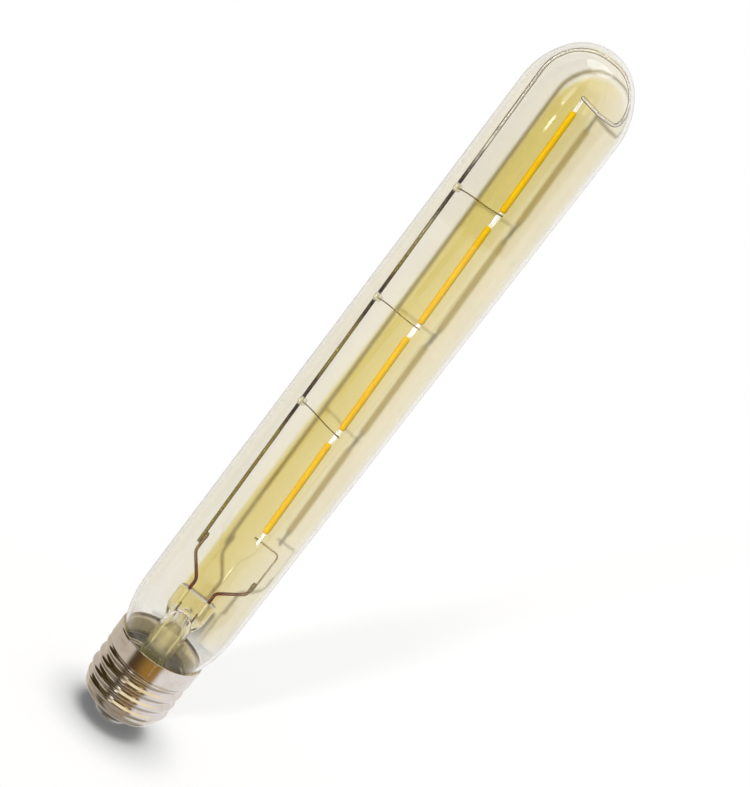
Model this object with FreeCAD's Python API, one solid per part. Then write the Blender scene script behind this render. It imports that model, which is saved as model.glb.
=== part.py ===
import FreeCAD, Part
import math
import os
from FreeCAD import Vector

# Tubular filament lamp, lengths in millimetres.
# Z runs along the lamp from the centre contact at zero up to the dome, X lies in the plane of
# the filament mount with the filaments on its positive side.

# Glass tube
tube_radius = 15.0
glass_wall = 0.8
lamp_length = 225.0
dome_stretch = 3.0
dome_crown_inset = 1.7
shoulder_radius = 36.0
shoulder_slope = 0.29
neck_bottom = 14.0
neck_gap = 0.58
rim_gap = 0.3

# Screw cap shell, knuckle thread of the E27 size
cap_height = 26.6
skirt_radius = 13.22
skirt_depth = 5.7
skirt_step = 0.6
thread_radius = 13.1
thread_core_radius = 12.13
thread_pitch = 3.629
thread_crest_width = 0.7
thread_root_width = 0.8
thread_crest_angle = -77.0
thread_crest_drop = 3.9
thread_bottom = 8.0
thread_run_out = 1.6
ridge_sink = 0.15
shell_sheet = 0.35
shell_opening_radius = 8.7
corner_lip = 0.2
corner_turn = 87.0

# Insulator and centre contact
insulator_top = 6.3
insulator_foot_radius = 5.4
insulator_foot = 1.5
contact_radius = 4.9
contact_face_radius = 3.4
contact_edge = 0.6
contact_flange = 0.4
contact_pin_recess = 0.3
eyelet_radius = 0.8

# Basing cement
cement_recess = 1.35

# Stem
stem_height = 30.4
flare_tube_radius = 4.4
flare_wall = 0.9
pinch_width = 11.8
pinch_thickness = 4.2
pinch_height = 5.8
pinch_blend = 4.0
exhaust_radius = 1.6
exhaust_wall = 0.5
exhaust_drop = 2.4
exhaust_seal = 2.0
exhaust_cover = 1.0
port_radius = 0.8
port_rise = 1.4

# Leads, with heights counted from the top of the pinch
lead_spread = 3.3
lead_radius = 0.42
lead_bend = 1.6
lead_embed = 1.2
lead_stub = 3.2
left_knee = 9.8
right_knee = 8.4
right_lead_top = 12.2
outer_lead_radius = 0.25
outer_lead_gap = 0.5
end_wire_radius = 0.25
end_wire_gap = 3.25
end_wire_foot = 9.4
end_wire_overshoot = 1.2
weld_sink = 0.08
bend_step = 0.4
shortest_chord = 0.3

# Filament mount, with the foot of the support wire and the low weld counted from the pinch
mount_lean = 0.018
support_rise = 12.6
support_radius = 0.5
support_side_gap = 1.9
support_weld_length = 3.0
hook_clearance = 0.65
hook_side_gap = 1.8
hook_flat = 0.1
hook_curl_radius = 0.8
hook_drop = 0.4
hook_end_rise = 0.2
low_weld_rise = 22.9
top_weld_rise = 4.3
filament_count = 4
filament_gap = 4.6
filament_offset = 3.76
filament_twist = 0.012
low_pin_reach = 2.7
top_pin_reach = 3.5
coat_radius = 0.85
strip_width = 0.9
strip_thickness = 0.4
strip_end = 1.2
chip_row_width = 0.5
chip_row_height = 0.12
chip_row_margin = 0.5
pin_width = 0.8
pin_thickness = 0.25
pin_clearance = 0.6
tie_radius = 0.17
tie_sink = 0.04
tie_overshoot = 0.9
tie_rises = (0.5, 1.1, 1.7)
bead_rises = (1.9, 0.2, -1.0)
bead_radius = 1.3
bead_length = 2.5
bead_shift = 0.35
tie_embed = 1.1

# Driver in the cap
board_radius = 8.8
board_thickness = 0.8
capacitor_radius = 2.1
capacitor_foot_width = 3.0
capacitor_length = 6.5
capacitor_offset = 5.6
bridge_size = (4.6, 3.8, 1.5)
bridge_offset = (-4.6, 2.9)
chip_package = (4.9, 3.9, 1.5)
chip_offset = (-4.6, -3.0)
resistor_radius = 1.1
resistor_length = 5.0
resistor_offset = 6.4
shell_wire_radius = 0.3
shell_wire_overlap = 1.6
seat_sink = 0.05

os.makedirs("parts", exist_ok=True)


def save(name, shape):
    """Write one solid to its own file."""
    if len(shape.Solids) != 1:
        raise ValueError(name + " is not one solid")
    solid = shape.Solids[0]
    if not solid.isValid():
        raise ValueError(name + " is not valid")
    solid.exportStep("parts/" + name + ".step")
    return solid


def unit(vector):
    """Copy of a vector with length one."""
    return Vector(vector).normalize()


def bend_points(points, radii):
    """Corner points with each inner corner replaced by short chords of its bend."""
    path = [points[0]]
    for i in range(1, len(points) - 1):
        corner = points[i]
        back = unit(points[i - 1] - corner)
        ahead = unit(points[i + 1] - corner)
        half = back.getAngle(ahead) / 2
        reach = radii[i - 1] / math.tan(half)
        centre = corner + unit(back + ahead) * (radii[i - 1] / math.sin(half))
        steps = math.ceil((math.pi - 2 * half) / bend_step)
        first = corner + back * reach - centre
        axis = first.cross(corner + ahead * reach - centre)
        for step in range(steps + 1):
            turn = FreeCAD.Rotation(axis, math.degrees((math.pi - 2 * half) * step / steps))
            point = centre + turn.multVec(first)
            if (point - path[-1]).Length > shortest_chord:
                path.append(point)
    path.append(points[-1])
    return path


def bent_wire(points, radii, radius):
    """Round wire along a bent path, with a mitre at every chord."""
    path = bend_points(points, radii)
    section = Part.Wire(Part.makeCircle(radius, path[0], path[1] - path[0]))
    return Part.makePolygon(path).makePipeShell([section], True, False, 1)


def rod(start, end, radius):
    """Straight round wire."""
    return Part.makeCylinder(radius, (end - start).Length, start, end - start)


def box_at(size, x, y, bottom):
    """Box centred on x and y, standing on a height."""
    corner = Vector(x - size[0] / 2, y - size[1] / 2, bottom)
    return Part.makeBox(size[0], size[1], size[2], corner)


def arc_edge(centre_radius, centre_height, radius, start, end):
    """Arc in the XZ plane between two angles in radians, measured from +X towards +Z."""
    points = []
    for angle in (start, (start + end) / 2, end):
        x = centre_radius + radius * math.cos(angle)
        z = centre_height + radius * math.sin(angle)
        points.append(Vector(x, 0, z))
    return Part.Arc(*points).toShape()


def revolved(edges, *chains):
    """Solid of revolution about Z of an outline: curved edges, and chains of radius and
    height pairs joined by straight lines."""
    lines = []
    for chain in chains:
        corners = [Vector(r, 0, z) for r, z in chain]
        for before, after in zip(corners[:-1], corners[1:]):
            lines.append(Part.LineSegment(before, after).toShape())
    outline = Part.Wire(Part.__sortEdges__(edges + lines))
    return Part.Face(outline).revolve(Vector(0, 0, 0), Vector(0, 0, 1), 360)


# Heights of the cap's skirt and thread
skirt_bottom = cap_height - skirt_depth
thread_top = skirt_bottom - skirt_step
thread_crest_height = thread_top - thread_crest_drop

# Glass tube with its dome of two tangent arcs, shoulder arc, and neck cone down to the cap
core_inside = thread_core_radius - shell_sheet
skirt_inside = skirt_radius - shell_sheet
neck_radius = core_inside - neck_gap
neck_top = cap_height - (skirt_inside - rim_gap - neck_radius) / math.tan(shoulder_slope)
shoulder_drop = shoulder_radius * (1 - math.cos(shoulder_slope))
shoulder_height = (
    neck_top
    + (tube_radius - shoulder_drop - neck_radius) / math.tan(shoulder_slope)
    + shoulder_radius * math.sin(shoulder_slope)
)
dome_crown_radius = tube_radius - dome_crown_inset
dome_centre = lamp_length - tube_radius - dome_stretch
dome_shift = dome_stretch + dome_crown_inset
dome_side = (
    tube_radius ** 2 + dome_shift ** 2 - dome_crown_radius ** 2
) / (2 * dome_crown_inset)
dome_turn = math.atan2(dome_shift, dome_side - tube_radius)


def shoulder_foot(inset):
    """Radius and height at which the cone of the neck meets the shoulder arc."""
    radius = shoulder_radius - inset
    return (
        tube_radius - shoulder_radius + radius * math.cos(shoulder_slope),
        shoulder_height - radius * math.sin(shoulder_slope),
    )


def neck_bend(inset):
    """Height at which the straight neck opens into its cone."""
    r, z = shoulder_foot(inset)
    return z - (r - neck_radius + inset) / math.tan(shoulder_slope)


def tube_curves(inset):
    """Curved edges of the tube profile, for the outer face or for one inset from it."""
    shoulder_centre = tube_radius - shoulder_radius
    return [
        arc_edge(
            shoulder_centre, shoulder_height, shoulder_radius - inset, -shoulder_slope, 0
        ),
        arc_edge(tube_radius - dome_side, dome_centre, dome_side - inset, 0, dome_turn),
        arc_edge(
            0, dome_centre + dome_shift, dome_crown_radius - inset, dome_turn, math.pi / 2
        ),
    ]


def tube_straights(inset):
    """Straight runs of the tube profile, each a chain of radius and height pairs."""
    neck = [
        (neck_radius - inset, neck_bottom),
        (neck_radius - inset, neck_bend(inset)),
        shoulder_foot(inset),
    ]
    side = [(tube_radius - inset, shoulder_height), (tube_radius - inset, dome_centre)]
    return [neck, side]


glass_bulb = revolved(
    tube_curves(0) + tube_curves(glass_wall),
    *tube_straights(0),
    *tube_straights(glass_wall),
    [(neck_radius, neck_bottom), (neck_radius - glass_wall, neck_bottom)],
    [(0, lamp_length), (0, lamp_length - glass_wall)],
)
save("glass_bulb", glass_bulb)
glass_envelope = revolved(
    tube_curves(0),
    *tube_straights(0),
    [(0, lamp_length), (0, neck_bottom), (neck_radius, neck_bottom)],
)

# Screw shell of turned sheet, with the thread as one helical ridge fused to it
corner_centre = shell_opening_radius - corner_lip
corner_outer = thread_core_radius - corner_centre
corner_inner = corner_outer - shell_sheet
corner_sweep = math.radians(corner_turn)


def corner_point(radius, angle):
    """Radius and height of a point on the rounded bottom corner of the shell."""
    return (
        corner_centre + radius * math.cos(angle),
        thread_bottom + radius * math.sin(angle),
    )


def corner_chain(radius, start, end):
    """Points along the rounded bottom corner, a straight facet for each half of its turn."""
    return [corner_point(radius, start + (end - start) * step / 2) for step in range(3)]


sheet = revolved(
    [],
    corner_chain(corner_outer, -corner_sweep, 0)
    + [
        (thread_core_radius, thread_top),
        (skirt_radius, skirt_bottom),
        (skirt_radius, cap_height),
        (skirt_inside, cap_height),
        (skirt_inside, skirt_bottom + shell_sheet),
        (core_inside, thread_top + shell_sheet),
    ]
    + corner_chain(corner_inner, 0, -corner_sweep)
    + [corner_point(corner_outer, -corner_sweep)],
)

ridge_base = (thread_pitch - thread_root_width) / 2
ridge_slope = (ridge_base - thread_crest_width / 2) / (thread_radius - thread_core_radius)
ridge_foot = ridge_base + ridge_slope * ridge_sink
turns_above = (skirt_bottom - thread_crest_height) / thread_pitch
turns_below = (thread_crest_height - thread_bottom) / thread_pitch
ridge_turns = turns_above + turns_below
helix = Part.makeLongHelix(thread_pitch, thread_pitch * ridge_turns, thread_core_radius, 0, False)
ridge_points = [
    Vector(thread_core_radius - ridge_sink, 0, -ridge_foot),
    Vector(thread_radius, 0, -thread_crest_width / 2),
    Vector(thread_radius, 0, thread_crest_width / 2),
    Vector(thread_core_radius - ridge_sink, 0, ridge_foot),
]
ridge_profile = Part.makePolygon(ridge_points + [ridge_points[0]])
ridge = Part.Wire(helix).makePipeShell([ridge_profile], True, True)
ridge_start = thread_crest_angle - 360 * turns_below
ridge.rotate(Vector(0, 0, 0), Vector(0, 0, 1), ridge_start)
ridge.translate(Vector(0, 0, thread_crest_height - thread_pitch * turns_below))
ridge_foot_radius = thread_core_radius - 1.5 * ridge_sink
run_out = revolved(
    [],
    [
        (ridge_foot_radius, skirt_bottom),
        (thread_radius + ridge_sink, skirt_bottom),
        (thread_radius + ridge_sink, thread_bottom + thread_run_out),
        (thread_core_radius, thread_bottom),
        (ridge_foot_radius, thread_bottom),
        (ridge_foot_radius, skirt_bottom),
    ],
)
ridge = ridge.common(run_out)
cap_shell = sheet.fuse(ridge)
save("cap_shell", cap_shell)

# Insulator cast into the bottom of the shell, and the centre contact below it
contact_top = insulator_foot + contact_flange
seat_mid_radius, seat_mid_height = corner_chain(corner_inner, 0, -corner_sweep)[1]


def corner_wall(height):
    """Inner radius of the shell on the upper facet of its rounded bottom corner."""
    rise = (height - seat_mid_height) / (thread_bottom - seat_mid_height)
    return seat_mid_radius + rise * (core_inside - seat_mid_radius)


cap_insulator = revolved(
    [],
    [
        (corner_wall(insulator_top), insulator_top),
        (seat_mid_radius, seat_mid_height),
        corner_point(corner_inner, -corner_sweep),
        corner_point(corner_outer, -corner_sweep),
        (insulator_foot_radius, insulator_foot),
        (contact_radius, insulator_foot),
        (contact_radius, contact_top),
        (eyelet_radius, contact_top),
        (eyelet_radius, insulator_top),
        (corner_wall(insulator_top), insulator_top),
    ],
)
save("cap_insulator", cap_insulator)

centre_contact = revolved(
    [],
    [
        (eyelet_radius, 0),
        (contact_face_radius, 0),
        (contact_radius, contact_edge),
        (contact_radius, contact_top),
        (eyelet_radius, contact_top),
        (eyelet_radius, 0),
    ],
)
save("centre_contact", centre_contact)


# Basing cement between neck and skirt
cement_bottom = skirt_bottom + shell_sheet
cement_depth = cap_height - cement_recess - cement_bottom
basing_cement = Part.makeCylinder(skirt_inside, cement_depth, Vector(0, 0, cement_bottom))
basing_cement = basing_cement.cut(glass_envelope)
save("basing_cement", basing_cement)


# Stem, a flared tube pressed flat at its top round the leads and the exhaust tube
pinch_top = neck_bottom + stem_height
pinch_bottom = pinch_top - pinch_height
pinch_root = pinch_bottom - pinch_blend
flare_centre = neck_radius - glass_wall
flare_radius = flare_centre - flare_tube_radius
flare_bore = flare_tube_radius - flare_wall
flare_top = neck_bottom + flare_radius
flare_mid_radius = flare_centre - flare_radius * math.cos(math.pi / 4)
flare_mid_height = flare_top - flare_radius * math.sin(math.pi / 4)
flare = revolved(
    [],
    [
        (flare_tube_radius, pinch_root),
        (flare_tube_radius, flare_top),
        (flare_mid_radius, flare_mid_height),
        (flare_centre, neck_bottom),
        (neck_radius, neck_bottom),
        (neck_radius, neck_bottom - flare_wall),
        (flare_centre - flare_wall / 2, neck_bottom - flare_wall),
        (flare_mid_radius - flare_wall, flare_mid_height - flare_wall / 2),
        (flare_bore, flare_top),
        (flare_bore, pinch_root),
        (flare_tube_radius, pinch_root),
    ],
)

# The pinch is the tube's end squeezed between two jaws, so it spreads sideways as it flattens
spread = Part.makeCone(
    flare_tube_radius, pinch_width / 2, pinch_blend, Vector(0, 0, pinch_root)
)
press = Part.makeCylinder(pinch_width / 2, pinch_height, Vector(0, 0, pinch_bottom))
jaw_outline = [
    Vector(-pinch_width, -flare_tube_radius, pinch_root),
    Vector(-pinch_width, -pinch_thickness / 2, pinch_bottom),
    Vector(-pinch_width, -pinch_thickness / 2, pinch_top),
    Vector(-pinch_width, pinch_thickness / 2, pinch_top),
    Vector(-pinch_width, pinch_thickness / 2, pinch_bottom),
    Vector(-pinch_width, flare_tube_radius, pinch_root),
]
jaws = Part.Face(Part.makePolygon(jaw_outline + [jaw_outline[0]]))
jaws = jaws.extrude(Vector(2 * pinch_width, 0, 0))
pinch = spread.fuse(press).common(jaws)
hollow = Part.makeCone(flare_bore, exhaust_radius, pinch_blend, Vector(0, 0, pinch_root))
exhaust_seat = Part.makeCylinder(
    exhaust_radius, pinch_height - exhaust_cover, Vector(0, 0, pinch_bottom)
)
stem_raw = flare.fuse(pinch).cut([hollow, exhaust_seat]).removeSplitter()

exhaust_tip = neck_bottom - exhaust_drop
exhaust_length = pinch_top - exhaust_cover - exhaust_tip
exhaust_tube = Part.makeCylinder(exhaust_radius, exhaust_length, Vector(0, 0, exhaust_tip))
exhaust_bore = Part.makeCylinder(
    exhaust_radius - exhaust_wall,
    exhaust_length - 2 * exhaust_seal,
    Vector(0, 0, exhaust_tip + exhaust_seal),
)
exhaust_tube = exhaust_tube.cut(exhaust_bore)


# Lines and heights that the mount pieces follow
mount_base = pinch_top + support_rise
low_weld = pinch_top + low_weld_rise
top_weld = dome_centre + top_weld_rise
filament_space = top_weld - low_weld - low_pin_reach - top_pin_reach + filament_gap
filament_pitch = filament_space / filament_count
coat_length = filament_pitch - filament_gap
first_filament_middle = low_weld + low_pin_reach + coat_length / 2
support_top_offset = tube_radius - glass_wall - support_radius - support_side_gap


def support_x(z):
    """Place of the support wire at a height."""
    return mount_lean * (dome_centre - z) - support_top_offset


def filament_x(z):
    """Place of the filament line at a height."""
    return filament_offset - mount_lean * (z - low_weld)


def place(x, z):
    """Point in the plane of the mount."""
    return Vector(x, 0, z)


# Support wire with the hook that follows the dome
hook_side = -support_x(dome_centre)
hook_top = lamp_length - glass_wall - hook_clearance - support_radius
hook_far = tube_radius - glass_wall - support_radius - hook_side_gap
hook_radius = (hook_far + hook_side - hook_flat) / 2
hook_low = top_weld - hook_drop
support_path = [
    place(support_x(mount_base), mount_base),
    place(support_x(hook_top), hook_top),
    place(hook_far, hook_top),
    place(hook_far, hook_low),
    place(filament_x(top_weld) - support_radius, top_weld + hook_end_rise),
]
hook_radii = [hook_radius, hook_top - hook_low - 1.1 * hook_curl_radius, hook_curl_radius]
support_wire = bent_wire(support_path, hook_radii, support_radius)
save("support_wire", support_wire)

# Inner leads out of the pinch, the left one welded beside the foot of the support wire
lead_root = pinch_bottom + lead_embed
left_x = support_x(mount_base) + support_radius + lead_radius - weld_sink
lead_left_path = [
    place(-lead_spread, lead_root),
    place(-lead_spread, pinch_top + lead_stub),
    place(left_x, pinch_top + left_knee),
    place(left_x - mount_lean * support_weld_length, mount_base + support_weld_length),
]
lead_left = bent_wire(lead_left_path, [lead_bend, lead_bend], lead_radius)
lead_left = lead_left.cut(support_wire)
save("lead_left", lead_left)

# End wire from the right lead to the lowest filament, behind the pin that it is welded to
end_wire_x = tube_radius - glass_wall - end_wire_radius - end_wire_gap
end_wire_y = end_wire_radius - weld_sink
end_path = [
    place(end_wire_x, pinch_top + end_wire_foot),
    place(end_wire_x, low_weld),
    place(filament_x(low_weld) - end_wire_overshoot, low_weld),
]
end_wire = bent_wire(end_path, [lead_bend], end_wire_radius)
end_wire.translate(Vector(0, end_wire_y, 0))
save("end_wire", end_wire)

weld_distance = lead_radius + end_wire_radius - weld_sink
right_x = end_wire_x - math.sqrt(weld_distance ** 2 - end_wire_y ** 2)
lead_right_path = [
    place(lead_spread, lead_root),
    place(lead_spread, pinch_top + lead_stub),
    place(right_x, pinch_top + right_knee),
    place(right_x, pinch_top + right_lead_top),
]
lead_right = bent_wire(lead_right_path, [lead_bend, lead_bend], lead_radius)
lead_right = lead_right.cut(end_wire)
save("lead_right", lead_right)

# Outer leads down through the stem to the driver board
board_bottom = insulator_top
board_top = board_bottom + board_thickness
outer_spread = flare_bore - outer_lead_radius - outer_lead_gap
outer_leads = []
for side in (-1, 1):
    outer_top = Vector(side * outer_spread, 0, lead_root)
    outer_foot = Vector(side * outer_spread, 0, board_top)
    outer_leads.append(rod(outer_foot, outer_top, outer_lead_radius))
save("outer_lead_left", outer_leads[0])
save("outer_lead_right", outer_leads[1])

# Port in the pinch through which the tube was pumped out
port_centre = Vector(0, 0, pinch_bottom + port_rise)
port = Part.makeCylinder(port_radius, pinch_thickness, port_centre, Vector(0, -1, 0))
exhaust_tube = exhaust_tube.cut(port)
save("exhaust_tube", exhaust_tube)
stem = stem_raw.cut([port, lead_left, lead_right] + outer_leads)
save("stem", stem)


# Filament strings, each a chip strip with a pin at both ends inside a phosphor coat
def tilt_filament(shape, middle, layer):
    """Turn an upright piece into its place on the filament line."""
    slope = mount_lean + filament_twist
    shape.rotate(Vector(0, 0, 0), Vector(0, 1, 0), -math.degrees(math.atan(slope)))
    shape.translate(Vector(filament_x(middle), layer, middle))
    return shape


def filament_layer(index):
    """Depth of a filament, so that the pins of neighbours lie face to face."""
    side = -1 if index % 2 == 0 else 1
    return side * pin_thickness / 2


ties = []
for gap in range(filament_count - 1):
    gap_middle = first_filament_middle + (gap + 0.5) * filament_pitch
    height = gap_middle + tie_rises[gap % len(tie_rises)]
    bead_height = height + bead_rises[gap % len(bead_rises)]
    bead_centre = Vector(support_x(bead_height) + bead_shift, 0, bead_height)
    tie_y = tie_sink - tie_radius - pin_thickness
    tie_start = Vector(bead_centre.x + bead_radius - tie_embed, tie_y, bead_height)
    tie_end = Vector(filament_x(height) + tie_overshoot, tie_y, height)
    tie = rod(tie_start, tie_end, tie_radius)
    bead_foot = bead_centre - Vector(0, 0, bead_length / 2)
    bead = Part.makeCylinder(bead_radius, bead_length, bead_foot)
    bead = bead.cut([support_wire, tie])
    save("tie_wire_" + str(gap + 1), tie)
    save("glass_bead_" + str(gap + 1), bead)
    ties.append(tie)

strip_length = coat_length - 2 * strip_end
pin_reach = filament_gap - pin_clearance
for index in range(filament_count):
    middle = first_filament_middle + index * filament_pitch
    layer = filament_layer(index)
    number = str(index + 1)
    strip = box_at((strip_width, strip_thickness, strip_length), 0, 0, -strip_length / 2)
    row_depth = strip_thickness / 2 + chip_row_height
    row_length = strip_length - 2 * chip_row_margin
    chip_row = box_at((chip_row_width, row_depth, row_length), 0, -row_depth / 2, -row_length / 2)
    strip = strip.fuse(chip_row).removeSplitter()
    reach = top_pin_reach if index == filament_count - 1 else pin_reach
    pin_up_size = (pin_width, pin_thickness, strip_end + reach)
    pin_up = box_at(pin_up_size, 0, 0, strip_length / 2)
    pin_down_size = (pin_width, pin_thickness, strip_end + pin_reach)
    pin_down = box_at(pin_down_size, 0, 0, -strip_length / 2 - strip_end - pin_reach)
    coat = Part.makeCylinder(coat_radius, coat_length, Vector(0, 0, -coat_length / 2))
    coat = coat.cut([strip, pin_up, pin_down])
    pieces = [tilt_filament(piece, middle, layer) for piece in (strip, coat, pin_up, pin_down)]
    strip, coat, pin_up, pin_down = pieces
    if index == 0:
        pin_down = pin_down.cut(end_wire)
    else:
        pin_down = pin_down.cut(ties[index - 1])
    if index == filament_count - 1:
        pin_up = pin_up.cut(support_wire)
    else:
        pin_up = pin_up.cut(ties[index])
    save("filament_" + number + "_chips", strip)
    save("filament_" + number + "_coat", coat)
    save("filament_" + number + "_pin_top", pin_up)
    save("filament_" + number + "_pin_bottom", pin_down)

# Driver board on the insulator with its parts on top
pin_hole = Part.makeCylinder(eyelet_radius, board_thickness, Vector(0, 0, board_bottom))
board = Part.makeCylinder(board_radius, board_thickness, Vector(0, 0, board_bottom))
board = board.cut(pin_hole)
save("driver_board", board)

capacitor_start = Vector(capacitor_offset, -capacitor_length / 2, board_top + capacitor_radius)
capacitor = Part.makeCylinder(capacitor_radius, capacitor_length, capacitor_start, Vector(0, 1, 0))
capacitor_foot = box_at(
    (capacitor_foot_width, capacitor_length, capacitor_radius), capacitor_offset, 0, board_top
)
capacitor = capacitor.fuse(capacitor_foot).removeSplitter()
save("capacitor", capacitor)
save("bridge_rectifier", box_at(bridge_size, bridge_offset[0], bridge_offset[1], board_top))
save("driver_chip", box_at(chip_package, chip_offset[0], chip_offset[1], board_top))

resistor_height = board_top + resistor_radius - seat_sink
resistor_start = Vector(-resistor_length / 2, resistor_offset, resistor_height)
resistor = Part.makeCylinder(resistor_radius, resistor_length, resistor_start, Vector(1, 0, 0))
save("fuse_resistor", resistor.cut(board))

# Contact pin pressed through the insulator, and wire from the board to the shell
contact_pin = Part.makeCylinder(
    eyelet_radius, board_top - contact_pin_recess, Vector(0, 0, contact_pin_recess)
)
save("contact_pin", contact_pin)
shell_wire_height = board_top + shell_wire_radius - seat_sink
shell_wire = rod(
    Vector(0, shell_wire_overlap - board_radius, shell_wire_height),
    Vector(0, -corner_wall(shell_wire_height) - shell_sheet / 2, shell_wire_height),
    shell_wire_radius,
)
shell_wire = shell_wire.cut([cap_shell, board])
save("shell_wire", shell_wire)
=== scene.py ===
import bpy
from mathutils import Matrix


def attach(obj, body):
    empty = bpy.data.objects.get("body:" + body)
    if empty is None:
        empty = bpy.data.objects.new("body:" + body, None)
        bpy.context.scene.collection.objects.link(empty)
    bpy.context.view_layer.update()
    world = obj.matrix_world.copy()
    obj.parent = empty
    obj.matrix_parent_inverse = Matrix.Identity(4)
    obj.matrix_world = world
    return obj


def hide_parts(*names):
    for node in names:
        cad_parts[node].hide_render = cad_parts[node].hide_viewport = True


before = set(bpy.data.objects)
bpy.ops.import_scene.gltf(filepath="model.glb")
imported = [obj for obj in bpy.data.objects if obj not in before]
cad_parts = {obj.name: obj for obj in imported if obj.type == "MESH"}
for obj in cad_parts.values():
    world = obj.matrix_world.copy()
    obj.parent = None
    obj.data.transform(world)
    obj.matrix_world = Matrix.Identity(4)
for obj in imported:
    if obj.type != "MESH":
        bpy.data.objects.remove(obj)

"""Dresses the tubular filament lamp: amber glass, nickel screw cap, filament strings and wires.

Lengths in the classes are millimetres in the lamp's own frame: Z runs from the centre contact up to
the dome and X points from the support wire to the filaments. Meshes are written in metres.
"""

import logging
import math
from dataclasses import dataclass, field
from enum import Enum
from typing import Any, Dict, List, Optional, Sequence, Tuple

import bpy
import numpy as np
from mathutils import Matrix, Vector

log = logging.getLogger("lamp")
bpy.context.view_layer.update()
MM = 0.001
BODY = "root"
WELD_BACK = 0.9
WELD_WIDTH = 0.8
END_RINGS = 5
Colour = Tuple[float, float, float]
Pair = Tuple[float, float]


# Surfaces


class Ends(Enum):
    """How the profile of a turned surface closes."""

    POLES = "both ends on the axis"
    RING = "last point joined to the first"


def arc(
    centre: Pair, radius: float, start: float, end: float, steps: int, rise: Optional[float] = None
) -> np.ndarray:
    """Points of an arc: the centre plus the radius times cosine and the rise times sine.

    Args:
        centre: First and second coordinate of the centre.
        radius: Radius of the arc.
        start: First angle in radians.
        end: Last angle in radians.
        steps: Number of chords, all of the same angle.
        rise: Second half axis of an elliptical arc; the radius when left out.

    Returns:
        Array of steps + 1 points with two coordinates each.
    """
    angle = np.linspace(start, end, steps + 1)
    tall = radius if rise is None else rise
    return np.column_stack([centre[0] + radius * np.cos(angle), centre[1] + tall * np.sin(angle)])


def around(columns: int) -> np.ndarray:
    """Angles evenly spaced over one turn."""
    return np.linspace(0, 2 * math.pi, columns, endpoint=False)


def eased(share: np.ndarray) -> np.ndarray:
    """Smooth step of a share from nought to one: three times its square less twice its cube."""
    return share * share * (3 - 2 * share)


def run(start: Sequence[float], end: Sequence[float], steps: int) -> np.ndarray:
    """Points evenly spaced on a straight line.

    Args:
        start: First point.
        end: Last point.
        steps: Number of chords.

    Returns:
        Array of steps + 1 points.
    """
    return np.linspace(np.asarray(start, float), np.asarray(end, float), steps + 1)


def chain(*stretches: np.ndarray) -> np.ndarray:
    """Joins stretches of points and drops each point that repeats the one before it.

    Args:
        stretches: Arrays of points.

    Returns:
        One array of points.
    """
    points = np.vstack(stretches)
    step = np.linalg.norm(np.diff(points, axis=0), axis=1)
    return points[np.concatenate([[True], step > 1e-6])]


def softened(points: np.ndarray, rounds: int = 3) -> np.ndarray:
    """Rounds the corners of a path: each round replaces a chord by its quarter points.

    Args:
        points: Corner points of the path.
        rounds: How many times the chords are cut.

    Returns:
        Points of the smooth path, with the first and last points kept.
    """
    path = np.asarray(points, float)
    for _ in range(rounds):
        near = 0.75 * path[:-1] + 0.25 * path[1:]
        far = 0.25 * path[:-1] + 0.75 * path[1:]
        inner = np.stack([near, far], axis=1).reshape(-1, path.shape[1])
        path = np.vstack([path[:1], inner, path[-1:]])
    return path


def grid_faces(rows: int, columns: int, ring: bool) -> np.ndarray:
    """Quads of a grid that wraps round in its second direction.

    Args:
        rows: Number of rows of points.
        columns: Number of points in a row.
        ring: Whether the last row joins the first.

    Returns:
        Array of four vertex numbers a face.
    """
    i = np.arange(rows if ring else rows - 1)[:, None]
    j = np.arange(columns)[None, :]
    below, beside = (i + 1) % rows, (j + 1) % columns
    quads = [i * columns + j, below * columns + j, below * columns + beside, i * columns + beside]
    return np.stack(quads, axis=-1).reshape(-1, 4)


def make_mesh(name: str, points: np.ndarray, faces: Sequence[Sequence[int]]) -> bpy.types.Object:
    """Mesh object with smooth faces at the origin.

    Args:
        name: Name of the object.
        points: Vertices in millimetres.
        faces: Vertex numbers of each face.

    Returns:
        The object, linked to the scene.
    """
    mesh = bpy.data.meshes.new(name)
    mesh.from_pydata((np.asarray(points) * MM).tolist(), [], [list(map(int, f)) for f in faces])
    mesh.polygons.foreach_set("use_smooth", np.ones(len(mesh.polygons), bool))
    mesh.validate()
    mesh.update()
    made = bpy.data.objects.new(name, mesh)
    bpy.context.scene.collection.objects.link(made)
    return made


def wrapped_grid(rings: np.ndarray, ends: Ends) -> Tuple[np.ndarray, List[List[int]]]:
    """Points and faces of a closed surface from rings of points, each ring one row of the grid.

    Args:
        rings: Array of rows by columns by three coordinates.
        ends: POLES pulls the first and last rows together into one point each.

    Returns:
        Vertices, and the vertex numbers of each face.
    """
    rows, columns = rings.shape[:2]
    if ends is Ends.RING:
        return rings.reshape(-1, 3), grid_faces(rows, columns, True).tolist()
    inner = rings[1:-1].reshape(-1, 3)
    points = np.vstack([inner, rings[0].mean(axis=0), rings[-1].mean(axis=0)])
    first, last = len(inner), len(inner) + 1
    j = np.arange(columns)
    k = (j + 1) % columns
    low = (rows - 3) * columns
    faces = grid_faces(rows - 2, columns, False).tolist()
    faces += np.column_stack([np.full(columns, first), j, k]).tolist()
    faces += np.column_stack([np.full(columns, last), low + k, low + j]).tolist()
    return points, faces


def wrapped_surface(name: str, rings: np.ndarray, ends: Ends) -> bpy.types.Object:
    """Object with the closed surface of one grid of rings; the arguments are wrapped_grid's."""
    return make_mesh(name, *wrapped_grid(rings, ends))


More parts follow.
